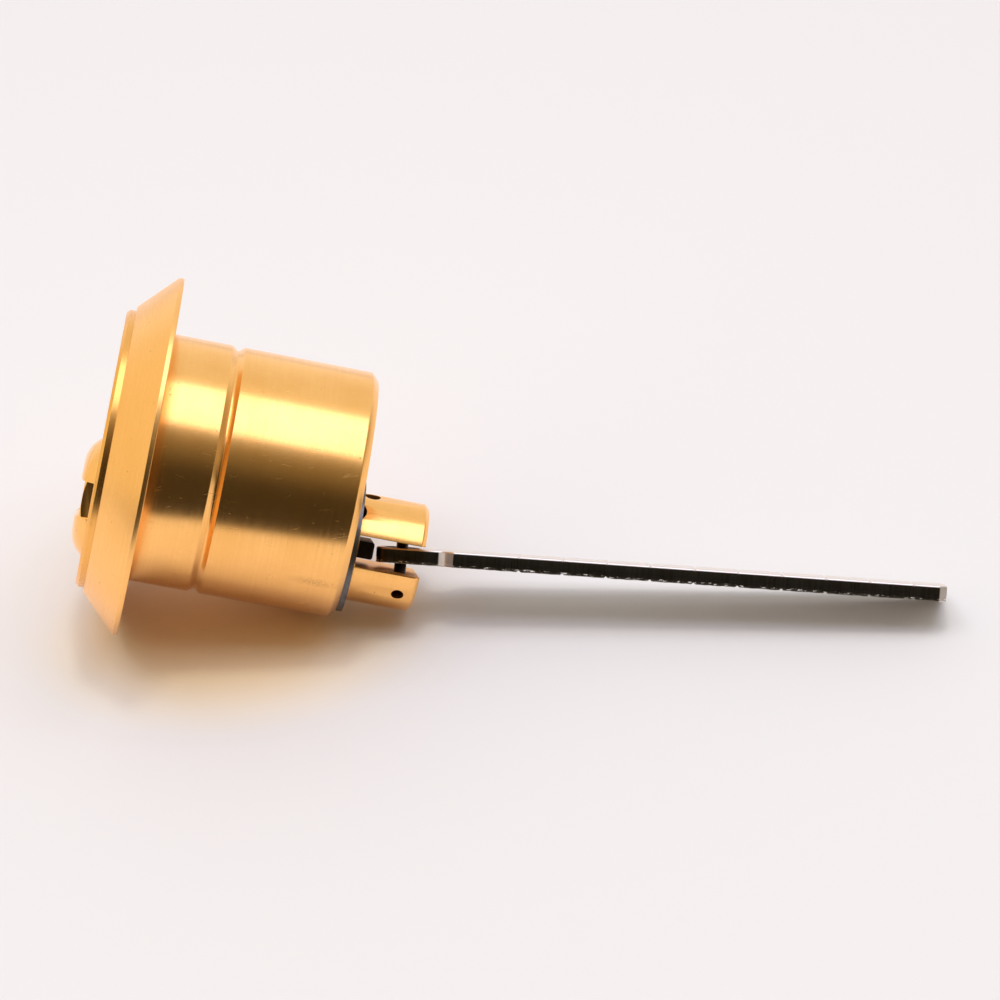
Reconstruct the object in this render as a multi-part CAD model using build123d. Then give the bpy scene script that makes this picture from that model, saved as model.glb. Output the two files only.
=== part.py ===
from build123d import *
from math import cos, radians, sin, sqrt
import os

# Rim cylinder for a dimple key, in millimetres.
# +Y runs along the barrel from the face to the tail, and y = 0 is the plane where the collar meets the door.
# The barrel's axis is the Y axis. The plug's axis is beside it, towards +X, and the pins are on the -X side.
# The keyway and the fork's slot stand along Z.

# Barrel and head plate
barrel_diameter = 30.0
barrel_length = 25.0
rear_chamfer = 0.8
head_overhang = 1.85
head_proud = 1.1
head_chamfer = 0.35
relief_depth = 0.3

# V groove round the barrel
groove_place = 7.9
groove_width = 1.5
groove_depth = 0.6

# Conical collar
collar_front_wall = 0.35
collar_flare = 4.35
collar_depth = 4.9
collar_band = 0.6
collar_edge = 0.15
collar_lip = 1.8
collar_bore_clearance = 0.2
collar_head_clearance = 0.15

# Plug
plug_offset = 6.0
plug_diameter = 13.1
plug_clearance = 0.05
plug_head_overhang = 0.6
plug_head_depth = 2.1
plug_end_play = 0.1
dome_height = 1.6
dome_flat_diameter = 8.8
dome_shoulder_diameter = 12.4
dome_shoulder_height = 0.95

# Channel and keyway in the plug's face
channel_width = 4.2
channel_depth = 0.5
channel_lip = 0.25
channel_block_length = 12.0
keyway_width = 3.0
keyway_height = 9.0
keyway_end = 20.0

# Forked rear end
fork_reach = 9.05
fork_end_chamfer = 0.5
slot_width = 3.8
slot_floor_gap = 0.15
side_hole_diameter = 2.9
side_hole_angle = 45.0
side_hole_depth = 3.0
small_hole_diameter = 1.95
small_hole_angle = 78.0
small_hole_from_end = 7.05

# Retaining ring
ring_overhang = 1.5
ring_thickness = 0.85
ring_groove_depth = 0.55
ring_mouth = 8.5
ring_clearance = 0.05

# Key stop
stop_thickness = 2.06
stop_height = 6.0
stop_proud = 2.3
stop_clearance = 0.02
stop_chamfer = 0.2

# Cross pin and tail bar
cross_hole_diameter = 1.5
cross_pin_clearance = 0.03
cross_pin_recess = 1.2
cross_pin_chamfer = 0.15
cross_from_end = 2.2
cross_angle = 42.0
bar_thickness = 1.84
bar_width = 8.5
bar_length = 68.4
bar_tip_chamfer = 0.9
tongue_width = 6.2
tongue_back = 2.9
tongue_corner = 1.5
shoulder_start = 5.5
shoulder_length = 1.1
shoulder_fillet = 0.8
bar_hole_diameter = 4.4
score_first = 14.5
score_pitch = 5.23
score_count = 10
score_width = 0.5
score_depth = 0.22
bar_swing = 11.7
bar_rock = -1.8
bar_roll = -2.6

# Pin stacks
pin_count = 5
pin_first = 1.0
pin_pitch = 4.0
chamber_diameter = 3.0
pin_clearance = 0.05
tip_hole_diameter = 2.3
tip_diameter = 2.1
tip_end_diameter = 1.0
tip_cone = 1.0
tip_reach = 0.6
lip_thickness = 1.0
key_pin_travel = 1.2
key_pin_inset = 0.2
driver_inset = 0.03
driver_length = 3.6
spring_diameter = 2.6
spring_wire = 0.3
spring_turns = 5
spring_steps = 8
spring_seat_gap = 0.02
chamber_plug_length = 2.3
chamber_plug_clearance = 0.01

# Tapped holes for the fixing screws, M5
fixing_drill_diameter = 4.2
fixing_depth = 14.0
fixing_side = -3.0
fixing_spacing = 19.0
fixing_countersink = 0.4

# Places worked out from the sizes above
barrel_radius = barrel_diameter / 2
head_radius = barrel_radius + head_overhang
plug_radius = plug_diameter / 2
bore_radius = plug_radius + plug_clearance
plug_head_radius = plug_radius + plug_head_overhang
ring_radius = plug_radius + ring_overhang
face_y = -(collar_depth + head_proud)
head_back_y = -collar_lip
ring_y = barrel_length + ring_clearance
slot_floor_y = ring_y + ring_thickness + ring_clearance + slot_floor_gap
fork_end_y = barrel_length + fork_reach
cross_y = fork_end_y - cross_from_end
stop_end_y = slot_floor_y + stop_proud - slot_floor_gap
chamber_ys = [pin_first + n * pin_pitch for n in range(pin_count)]
lip_outer = keyway_width / 2 + lip_thickness
driver_inner = bore_radius + driver_inset
driver_outer = driver_inner + driver_length
chamber_mouth = plug_offset + barrel_radius
plug_seat = chamber_mouth - chamber_plug_length


def turned(points):
    """A solid turned about the Y axis from an outline of (radius, y) points."""
    outline = make_face(Polyline(*points, close=True))
    return revolve(outline, Axis.Y)


def turned_on_chamber(points):
    """A solid turned about the chamber's line from (distance out, radius) points, out being -X."""
    outline = make_face(Polyline(*[(-out, radius) for out, radius in points], close=True))
    return revolve(outline, Axis.X)


def rod_along(direction, start, diameter, length):
    """A plain rod from a start point along a direction."""
    plane = Plane(origin=start, z_dir=direction)
    return plane * Cylinder(diameter / 2, length, align=(Align.CENTER, Align.CENTER, Align.MIN))


def rod_on_y(x, y_from, y_to, z, diameter):
    """A plain rod along Y between two places."""
    return rod_along((0, 1, 0), (x, y_from, z), diameter, y_to - y_from)


def block(x, y_from, y_to, z_low, z_high, thickness):
    """A block centred on x, between two places along Y and two heights."""
    shape = Box(thickness, y_to - y_from, z_high - z_low)
    return Pos(x, (y_from + y_to) / 2, (z_low + z_high) / 2) * shape


def from_z(angle):
    """The direction across the plug that leans from +Z towards +X by an angle in degrees."""
    return Vector(sin(radians(angle)), 0, cos(radians(angle)))


def barrel_blank():
    """The head plate and barrel as turned, before any hole is drilled."""
    relief_radius = barrel_radius - relief_depth
    return turned([
        (0, face_y),
        (head_radius - head_chamfer, face_y),
        (head_radius, face_y + head_chamfer),
        (head_radius, head_back_y),
        (relief_radius, head_back_y),
        (relief_radius, 0),
        (barrel_radius, 0),
        (barrel_radius, groove_place - groove_width / 2),
        (barrel_radius - groove_depth, groove_place),
        (barrel_radius, groove_place + groove_width / 2),
        (barrel_radius, barrel_length - rear_chamfer),
        (barrel_radius - rear_chamfer, barrel_length),
        (0, barrel_length),
    ])


def fixing_hole(z):
    """A drilled blind hole with its cone-shaped bottom and countersunk mouth, at a height z."""
    radius = fixing_drill_diameter / 2
    mouth = radius + fixing_countersink
    bottom = barrel_length - fixing_depth
    hole = turned([
        (0, bottom - radius / 2),
        (radius, bottom),
        (radius, barrel_length - fixing_countersink),
        (mouth, barrel_length),
        (0, barrel_length),
    ])
    return Pos(fixing_side, 0, z) * hole


def make_housing():
    body = barrel_blank()
    body -= rod_on_y(plug_offset, face_y, barrel_length, 0, 2 * bore_radius)
    seat_diameter = 2 * (plug_head_radius + plug_clearance)
    seat_end = face_y + plug_head_depth + plug_end_play
    body -= rod_on_y(plug_offset, face_y, seat_end, 0, seat_diameter)
    for y in chamber_ys:
        length = chamber_mouth - plug_radius / 2
        start = (plug_offset - plug_radius / 2, y, 0)
        body -= rod_along((-1, 0, 0), start, chamber_diameter, length)
    for z in (-fixing_spacing / 2, fixing_spacing / 2):
        body -= fixing_hole(z)
    return body


def make_collar():
    bore = barrel_radius + collar_bore_clearance
    recess = head_radius + collar_head_clearance
    front = recess + collar_front_wall
    rim = front + collar_flare
    return turned([
        (front, -collar_depth),
        (rim, -collar_band),
        (rim, -collar_edge),
        (rim - collar_edge, 0),
        (bore, 0),
        (bore, -collar_lip),
        (recess, -collar_lip),
        (recess, -collar_depth),
    ])


def plug_blank():
    """The plug as turned: domed head, body, ring groove and rear end."""
    crown = face_y - dome_height
    flat = dome_flat_diameter / 2
    shoulder = dome_shoulder_diameter / 2
    head_back = face_y + plug_head_depth
    groove = plug_radius - ring_groove_depth
    groove_end = ring_y + ring_thickness + ring_clearance
    top = Line((0, crown), (flat, crown))
    side = ThreePointArc(
        (flat, crown),
        (shoulder, face_y - dome_shoulder_height),
        (plug_head_radius, face_y),
    )
    rest = Polyline(
        (plug_head_radius, face_y),
        (plug_head_radius, head_back),
        (plug_radius, head_back),
        (plug_radius, barrel_length),
        (groove, barrel_length),
        (groove, groove_end),
        (plug_radius, groove_end),
        (plug_radius, fork_end_y - fork_end_chamfer),
        (plug_radius - fork_end_chamfer, fork_end_y),
        (0, fork_end_y),
        (0, crown),
    )
    return revolve(make_face(top + side + rest), Axis.Y)


def face_channel():
    """What the cutter takes from the plug's face: a channel with eased lips, and flats at its two ends."""
    crown = face_y - dome_height
    floor = crown + channel_depth
    half = channel_width / 2
    reach = plug_head_radius
    section = Polyline(
        (-half - channel_lip, crown),
        (-half, crown + channel_lip),
        (-half, floor),
        (half, floor),
        (half, crown + channel_lip),
        (half + channel_lip, crown),
        close=True,
    )
    cut = extrude(make_face(section), reach, both=True)
    for side in (-1, 1):
        inner = side * channel_block_length / 2
        outer = side * (plug_head_radius + 1)
        cut += block(0, crown, face_y, min(inner, outer), max(inner, outer), channel_width)
    return cut


def make_plug():
    body = plug_blank()
    body -= face_channel()
    crown = face_y - dome_height
    body -= block(0, crown, keyway_end, -keyway_height / 2, keyway_height / 2, keyway_width)
    pocket_half = stop_height / 2 + stop_clearance
    pocket_width = stop_thickness + 2 * stop_clearance
    body -= block(0, keyway_end, slot_floor_y, -pocket_half, pocket_half, pocket_width)
    body -= block(0, slot_floor_y, fork_end_y, -plug_radius, plug_radius, slot_width)
    for y in chamber_ys:
        body -= rod_along((-1, 0, 0), (-lip_outer, y, 0), chamber_diameter, plug_radius)
        body -= rod_along((-1, 0, 0), (0, y, 0), tip_hole_diameter, plug_radius)
    across = from_z(cross_angle)
    body -= rod_along(across, Vector(0, cross_y, 0) - across * plug_radius, cross_hole_diameter, plug_diameter)
    side = from_z(-side_hole_angle)
    side_start = Vector(0, barrel_length, 0) + side * (plug_radius - side_hole_depth)
    body -= rod_along(side, side_start, side_hole_diameter, side_hole_depth)
    small = from_z(-small_hole_angle)
    small_start = Vector(0, fork_end_y - small_hole_from_end, 0) + small * (slot_width / 4)
    body -= rod_along(small, small_start, small_hole_diameter, plug_radius)
    return Pos(plug_offset, 0, 0) * body


def make_retaining_ring():
    inner = plug_radius - ring_groove_depth + ring_clearance
    ring = turned([
        (inner, ring_y),
        (ring_radius, ring_y),
        (ring_radius, ring_y + ring_thickness),
        (inner, ring_y + ring_thickness),
    ])
    ring -= block(0, ring_y, ring_y + ring_thickness, -2 * ring_radius, 0, ring_mouth)
    return Pos(plug_offset, 0, 0) * ring


def make_key_stop():
    half = stop_height / 2
    stop = block(0, keyway_end, stop_end_y, -half, half, stop_thickness)
    rear = stop.faces().sort_by(Axis.Y)[-1]
    return Pos(plug_offset, 0, 0) * chamfer(rear.edges(), stop_chamfer)


def make_tail_pin():
    length = plug_diameter - 2 * cross_pin_recess
    pin = Cylinder(cross_hole_diameter / 2 - cross_pin_clearance, length)
    pin = chamfer(pin.edges().filter_by(GeomType.CIRCLE), cross_pin_chamfer)
    return Plane(origin=(plug_offset, cross_y, 0), z_dir=from_z(cross_angle)) * pin


def bar_outline():
    """The stamped outline of the tail bar, drawn flat: along the bar by across it, from the cross pin."""
    half = bar_width / 2
    neck = tongue_width / 2
    tip = bar_length - tongue_back
    upper = [
        (-tongue_back, neck),
        (shoulder_start, neck),
        (shoulder_start + shoulder_length, half),
        (tip - bar_tip_chamfer, half),
        (tip, half - bar_tip_chamfer),
    ]
    lower = [(along, -across) for along, across in reversed(upper)]
    face = make_face(Polyline(*upper, *lower, close=True))
    corners = face.vertices().group_by(Axis.X)
    face = fillet(corners[0], tongue_corner)
    shoulder_corners = face.vertices().filter_by(
        lambda v: abs(v.X - shoulder_start) < shoulder_length / 2 and abs(abs(v.Y) - neck) < tongue_back / 10
    )
    return fillet(shoulder_corners, shoulder_fillet)


def make_tail_bar():
    """The bar is built flat along Y, then swings on its cross pin to where it lies at rest."""
    flat = Plane(origin=(0, 0, 0), x_dir=(0, 1, 0), z_dir=(1, 0, 0))
    bar = extrude(flat * bar_outline(), bar_thickness / 2, both=True)
    bar -= rod_along((1, 0, 0), (-bar_thickness, 0, 0), bar_hole_diameter, 2 * bar_thickness)
    face = bar_thickness / 2
    for n in range(score_count):
        along = score_first + n * score_pitch
        for side in (-1, 1):
            notch = Polyline(
                (side * face, along - score_width / 2),
                (side * (face - score_depth), along),
                (side * face, along + score_width / 2),
                close=True,
            )
            bar -= extrude(make_face(notch), bar_width / 2, both=True)
    bar = bar.rotate(Axis.Y, bar_roll)
    bar = bar.rotate(Axis((0, 0, 0), from_z(cross_angle - 90)), bar_rock)
    bar = bar.rotate(Axis((0, 0, 0), from_z(cross_angle)), bar_swing)
    return Pos(plug_offset, cross_y, 0) * bar


def make_key_pin(y):
    """A stepped pin whose tip stands in the keyway, with its top just inside the plug's surface."""
    radius = chamber_diameter / 2 - pin_clearance
    tip = tip_diameter / 2
    tip_end = keyway_width / 2 - tip_reach
    shoulder = lip_outer + key_pin_travel
    top = plug_radius - key_pin_inset
    pin = turned_on_chamber([
        (tip_end, 0),
        (tip_end, tip_end_diameter / 2),
        (tip_end + tip_cone, tip),
        (shoulder, tip),
        (shoulder, radius),
        (top, radius),
        (top, 0),
    ])
    return Pos(plug_offset, y, 0) * pin


def make_driver_pin(y):
    """A plain pin that stands just outside the plug when the cylinder is unlocked."""
    diameter = chamber_diameter - 2 * pin_clearance
    return rod_along((-1, 0, 0), (plug_offset - driver_inner, y, 0), diameter, driver_length)


def make_pin_spring(y):
    """An open coil between the driver's end and the chamber's plug, in short straight steps of square wire."""
    low = driver_outer + spring_seat_gap + spring_wire / 2
    high = plug_seat - spring_seat_gap - spring_wire / 2
    radius = (spring_diameter - spring_wire) / 2
    steps = spring_turns * spring_steps
    sections = []
    for step in range(steps + 1):
        turn = radians(360 * step / spring_steps)
        rise = (high - low) * step / steps
        origin = (radius * cos(turn), radius * sin(turn), rise)
        place = Plane(origin=origin, x_dir=(cos(turn), sin(turn), 0), z_dir=(-sin(turn), cos(turn), 0))
        sections.append(place * Rectangle(spring_wire, spring_wire))
    outward = Plane(origin=(plug_offset - low, y, 0), z_dir=(-1, 0, 0))
    return outward * loft(sections, ruled=True)


def make_chamber_plug(y):
    """A short plug in the chamber's mouth, turned flush with the barrel after it was pressed in."""
    diameter = chamber_diameter - 2 * chamber_plug_clearance
    rod = rod_along((-1, 0, 0), (plug_offset - plug_seat, y, 0), diameter, 2 * chamber_plug_length)
    return rod & barrel_blank()


def build_parts():
    parts = {
        "housing": make_housing(),
        "collar": make_collar(),
        "plug": make_plug(),
        "retaining_ring": make_retaining_ring(),
        "key_stop": make_key_stop(),
        "tail_pin": make_tail_pin(),
        "tail_bar": make_tail_bar(),
    }
    for number, y in enumerate(chamber_ys, start=1):
        parts[f"key_pin_{number}"] = make_key_pin(y)
        parts[f"driver_pin_{number}"] = make_driver_pin(y)
        parts[f"pin_spring_{number}"] = make_pin_spring(y)
        parts[f"chamber_plug_{number}"] = make_chamber_plug(y)
    return parts


os.makedirs("parts", exist_ok=True)
for name, shape in build_parts().items():
    export_step(shape, f"parts/{name}.step")
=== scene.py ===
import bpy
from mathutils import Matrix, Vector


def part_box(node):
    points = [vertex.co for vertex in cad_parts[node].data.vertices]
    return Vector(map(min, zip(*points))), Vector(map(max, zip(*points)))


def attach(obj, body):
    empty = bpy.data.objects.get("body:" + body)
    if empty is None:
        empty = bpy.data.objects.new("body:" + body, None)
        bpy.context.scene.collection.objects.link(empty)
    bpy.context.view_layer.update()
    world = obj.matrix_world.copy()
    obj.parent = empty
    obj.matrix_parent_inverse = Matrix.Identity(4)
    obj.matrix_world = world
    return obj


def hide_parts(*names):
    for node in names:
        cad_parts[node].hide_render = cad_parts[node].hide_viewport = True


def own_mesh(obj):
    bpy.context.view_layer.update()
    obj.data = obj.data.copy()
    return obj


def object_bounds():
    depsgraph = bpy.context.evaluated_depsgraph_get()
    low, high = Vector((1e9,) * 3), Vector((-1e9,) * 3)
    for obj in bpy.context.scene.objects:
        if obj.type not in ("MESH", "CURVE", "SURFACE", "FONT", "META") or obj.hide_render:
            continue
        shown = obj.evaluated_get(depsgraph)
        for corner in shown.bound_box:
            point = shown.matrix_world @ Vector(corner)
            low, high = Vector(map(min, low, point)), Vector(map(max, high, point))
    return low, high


bl_info = {
    "name": "Rim cylinder",
    "version": (1, 0, 0),
    "blender": (4, 5, 0),
    "location": "3D View > Sidebar > Rim cylinder",
    "description": "Turned brass, blackened steel and a sheared tail bar for a rim cylinder, with its stage",
    "category": "Object",
}

import math

import bmesh
import bpy
from bpy.props import FloatProperty, FloatVectorProperty, IntProperty, PointerProperty
from mathutils import Matrix, Vector, noise

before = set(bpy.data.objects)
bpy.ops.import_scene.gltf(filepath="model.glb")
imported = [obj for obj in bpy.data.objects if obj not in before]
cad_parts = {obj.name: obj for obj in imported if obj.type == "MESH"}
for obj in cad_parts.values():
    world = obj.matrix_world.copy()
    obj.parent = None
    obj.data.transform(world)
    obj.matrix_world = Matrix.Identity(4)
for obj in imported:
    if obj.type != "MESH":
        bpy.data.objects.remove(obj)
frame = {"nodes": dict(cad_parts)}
cad_low, cad_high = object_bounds()

MM = 0.001
FULL_TURN = 2 * math.pi
WELD = 0.0005 * MM
PINS = range(1, 6)
BARREL_LINE = Vector((0, 0, 0))


# Sizes and colours

def length(name, description, default):
    """A length in millimetres that a user may change."""
    return FloatProperty(name=name, description=description, default=default * MM, min=0.0,
                         precision=5, subtype="DISTANCE", unit="LENGTH")


def angle(name, description, default):
    """An angle in degrees that a user may change."""
    return FloatProperty(name=name, description=description, default=math.radians(default),
                         subtype="ANGLE", unit="ROTATION")


def colour(name, description, default):
    """A linear colour that a user may change."""
    return FloatVectorProperty(name=name, description=description, default=default, size=3,
                               min=0.0, max=1.0, subtype="COLOR")


class RimCylinderSizes(bpy.types.PropertyGroup):
    """Sizes of the turned and drilled brass"""
    barrel: length("Barrel", "Diameter of the barrel", 30.0)
    head_overhang: length("Head overhang", "How far the head plate stands past the barrel", 1.85)
    head_proud: length("Head proud", "How far the head plate stands out of the collar", 1.1)
    collar_depth: length("Collar depth", "Depth of the cone, door to front edge", 4.9)
    collar_lip: length("Collar lip", "Thickness of the lip that the head plate presses on", 1.8)
    collar_band: length("Collar band", "Straight band at the cone's rim", 0.6)
    collar_front_wall: length("Front wall", "Width of the cone's front edge", 0.35)
    collar_flare: length("Flare", "How far the rim stands past the front edge", 4.35)
    groove_place: length("Groove place", "Distance of the groove from the door", 7.9)
    groove_width: length("Groove width", "Width of the V groove", 1.5)
    groove_depth: length("Groove depth", "Depth of the V groove", 0.6)
    groove_skew: length("Groove skew", "How far the groove's bottom lies behind its middle", 0.06)
    rear_chamfer: length("Rear chamfer", "Chamfer round the barrel's rear edge", 0.8)
    relief: length("Relief", "Depth of the relief behind the head plate", 0.3)
    edge_round: length("Edge round", "Radius left on the turned edges", 0.05)
    head_bevel: length("Head bevel", "Bevel round the head plate's front", 0.38)
    collar_play: length("Collar play", "Radial clearance of the collar on the barrel", 0.2)
    recess_play: length("Recess play", "Radial clearance of the head plate in the collar", 0.15)
    fixing_side: length("Fixing side", "How far the fixing holes lie off the middle", 3.0)
    fixing_spread: length("Fixing spread", "Distance of each fixing hole from the middle line", 9.5)
    fixing_depth: length("Fixing depth", "Depth of the fixing holes", 14.0)
    thread_outer: length("Thread outer", "Outer radius of the fixing holes' thread", 2.5)
    thread_inner: length("Thread inner", "Inner radius of the fixing holes' thread", 2.1)
    thread_pitch: length("Thread pitch", "Pitch of the fixing holes' thread", 0.8)
    turned_steps: IntProperty(name="Turned steps", description="Facets round the large turned pieces",
                              default=256, min=24)


class RimCylinderPlug(bpy.types.PropertyGroup):
    """Sizes of the plug and of what it carries"""
    offset: length("Offset", "Distance of the plug's axis from the barrel's", 6.0)
    body: length("Body", "Diameter of the plug", 13.1)
    clearance: length("Clearance", "Radial clearance of the plug in its bore", 0.05)
    head: length("Head", "Diameter of the plug's head", 14.3)
    head_depth: length("Head depth", "Depth of the plug's head", 2.1)
    end_play: length("End play", "Clearance behind the plug's head", 0.1)
    dome_height: length("Dome height", "Height of the dome", 1.6)
    dome_flat: length("Dome flat", "Diameter of the dome's flat", 8.8)
    dome_shoulder: length("Dome shoulder", "Diameter where the dome's curve is measured", 12.4)
    dome_shoulder_height: length("Shoulder height", "Height of the dome's curve there", 0.95)
    channel_width: length("Channel width", "Width of the channel across the face", 4.2)
    channel_depth: length("Channel depth", "Depth of the channel", 0.5)
    channel_lip: length("Channel lip", "Bevel along the channel's edges", 0.25)
    block_length: length("Block length", "Length of the channel between its end flats", 12.0)
    keyway_width: length("Keyway width", "Thickness of the keyway", 3.0)
    keyway_height: length("Keyway height", "Height of the keyway", 9.0)
    slot_width: length("Slot width", "Width of the fork's slot", 3.8)
    end_chamfer: length("End chamfer", "Chamfer round the fork's end", 0.5)
    side_hole: length("Side hole", "Diameter of the blind hole by the ring", 2.9)
    side_hole_floor: length("Side hole depth", "Depth of the blind hole", 3.0)
    side_angle: angle("Side hole angle", "Lean of the blind hole from the keyway", 45.0)
    small_hole: length("Small hole", "Diameter of the small hole in the upper ear", 1.95)
    cross_hole: length("Cross hole", "Diameter of the cross pin's hole", 1.5)
    cross_from_end: length("Cross pin place", "Distance of the cross pin from the fork's end", 2.2)
    cross_angle: angle("Cross angle", "Lean of the cross pin from the keyway", 42.0)
    small_from_end: length("Small hole place", "Distance of the small hole from the fork's end", 7.05)
    small_angle: angle("Small hole angle", "Lean of the small hole from the keyway", 78.0)
    chamber: length("Chamber", "Diameter of the pin chambers", 3.0)
    pin_first: length("First pin", "Place of the first pin", 1.0)
    pin_pitch: length("Pin pitch", "Distance from pin to pin", 4.0)
    pin_way: length("Pin way", "Diameter of the key pins' narrow holes", 2.3)
    pin_travel: length("Pin travel", "How far a driver pin can lift", 1.5)
    ring_groove: length("Ring groove", "Depth of the groove that holds the ring", 0.55)
    turned_steps: IntProperty(name="Turned steps", description="Facets round the plug", default=160, min=24)


class RimCylinderBar(bpy.types.PropertyGroup):
    """Sizes of the tail bar"""
    thickness: length("Thickness", "Thickness of the plate", 1.84)
    width: length("Width", "Width of the bar", 8.5)
    reach: length("Length", "Whole length of the bar", 68.4)
    tip_chamfer: length("Tip chamfer", "Chamfer at the tip's corners", 0.9)
    tongue: length("Tongue", "Width of the tongue in the fork", 6.2)
    tongue_back: length("Tongue back", "How far the tongue goes past the cross pin", 2.9)
    tongue_corner: length("Tongue corner", "Radius of the tongue's corners", 1.5)
    shoulder: length("Shoulder", "Distance of the shoulder from the cross pin", 5.5)
    shoulder_run: length("Shoulder run", "Length of the shoulder's slope", 1.1)
    shoulder_fillet: length("Shoulder fillet", "Radius in the shoulder's corner", 0.8)
    hole: length("Hole", "Diameter of the hole round the cross pin", 4.4)
    score_first: length("First score", "Distance of the first score from the cross pin", 14.5)
    score_pitch: length("Score pitch", "Distance from score to score", 5.23)
    score_width: length("Score width", "Width of a score", 0.5)
    score_depth: length("Score depth", "Depth of a score", 0.22)
    score_count: IntProperty(name="Scores", description="How many scores each face has", default=10, min=0)
    swing: angle("Swing", "Turn of the bar about the cross pin at rest", 11.7)
    rock: angle("Rock", "Lean of the bar along the cross pin at rest", -1.8)
    roll: angle("Roll", "Turn of the bar about its own length at rest", -2.6)
    burr: length("Burr", "Height of the burr left by the die", 0.09)


class RimCylinderFinish(bpy.types.PropertyGroup):
    """Colours of the metals and of the floor"""
    brass: colour("Brass", "Clean brass", (1.0, 0.57, 0.195))
    brass_deep: colour("Deep brass", "Brass where it has aged", (0.86, 0.43, 0.10))
    tarnish: colour("Tarnish", "Stains and specks on the brass", (0.16, 0.08, 0.03))
    steel: colour("Steel", "Bright steel of pins and springs", (0.62, 0.61, 0.59))
    dark_steel: colour("Dark steel", "Oiled steel of the ring", (0.12, 0.12, 0.125))
    black_steel: colour("Black steel", "Blackened steel of the key stop and cross pin", (0.02, 0.019, 0.018))
    nickel: colour("Nickel", "Plating of the tail bar", (0.72, 0.67, 0.64))
    # Painted shade: the sheared edge is bare steel, made near-black to stand in for the dark it reflects.
    painted_dark_edge: colour("Sheared steel", "Dark sheared edge of the tail bar", (0.075, 0.066, 0.052))
    # Painted highlights: pale on the round of the bar's shoulder, grey on its slope and at the tip, on the
    # sheared edge.
    highlight_pale: colour("Ground pale", "Ground edge before the bar's shoulder", (0.95, 0.92, 0.88))
    highlight_grey: colour("Ground grey", "Ground edge of the bar's shoulder and tip", (0.42, 0.38, 0.34))
    # Painted glints: the burr colour makes near-white flecks along the torn edge that stand in for the glints it
    # catches.
    burr: colour("Burr", "Bright flecks along the torn edge", (0.95, 0.93, 0.90))
    floor: colour("Floor", "Pale floor", (0.90, 0.868, 0.852))
    floor_seen: colour("Floor seen", "Pale floor as the camera sees it", (0.765, 0.766, 0.775))
    # Painted light: glow is light bounced off the brass, painted into the floor's colour near the barrel for the
    # camera.
    glow: colour("Glow", "Floor near the barrel, warmed by the brass", (0.98, 0.83, 0.58))


class RimCylinderStage(bpy.types.PropertyGroup):
    """The camera, the lamps and the floor"""
    spin: angle("Spin", "Turn of the picture about the line of sight", 10.794)
    tilt: angle("Tilt", "How far the tail leans away from the camera", 6.119)
    roll: angle("Roll", "Turn of the cylinder about its own axis", 3.581)
    distance: length("Distance", "Camera to the aiming point", 444.49)
    aim: length("Aiming point", "Place of the aiming point on the barrel's axis", 10.0)
    aim_column: FloatProperty(name="Column", description="Pixel column of the aiming point", default=232.763)
    aim_row: FloatProperty(name="Row", description="Pixel row of the aiming point", default=472.480)
    focal_pixels: FloatProperty(name="Focal length", description="Focal length in pixels", default=3700.63)
    picture: FloatProperty(name="Picture", description="Width of the picture in pixels", default=1000.0)
    floor_roll: angle("Floor roll", "Turn of the floor about the barrel, from the camera's side", 59.0)
    floor_slope: angle("Floor slope", "Lean of the barrel on the collar's rim and its own rear edge", 15.15)
    # Past this distance towards the camera, glossy rays see a painted dark reflection instead of the pale sheet.
    dark_reflection_from: length("Sheet", "How far the pale sheet goes towards the camera", 95.0)
    # The glow's place and reaches set where that painted bounce light lies on the floor.
    glow_place: FloatVectorProperty(name="Glow place", description="Middle of the warm glow, in millimetres",
                                    default=(20.0, 14.0, -2.0))
    glow_inner: FloatProperty(name="Glow inner", description="Reach of the full glow in mm", default=5.0)
    glow_outer: FloatProperty(name="Glow outer", description="Where the glow ends, in mm", default=21.0)
    see_through: length("See through", "How deep a piece beneath the floor still shows through it", 60.0)
    lamp_height: length("Lamp height", "Distance of both lamps from the barrel", 750.0)


class RimCylinderSettings(bpy.types.PropertyGroup):
    """Everything that a user may change"""
    sizes: PointerProperty(type=RimCylinderSizes)
    plug: PointerProperty(type=RimCylinderPlug)
    bar: PointerProperty(type=RimCylinderBar)
    finish: PointerProperty(type=RimCylinderFinish)
    stage: PointerProperty(type=RimCylinderStage)


def settings():
    """The settings kept with the scene."""
    return bpy.context.scene.rim_cylinder


# Mesh helpers

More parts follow.
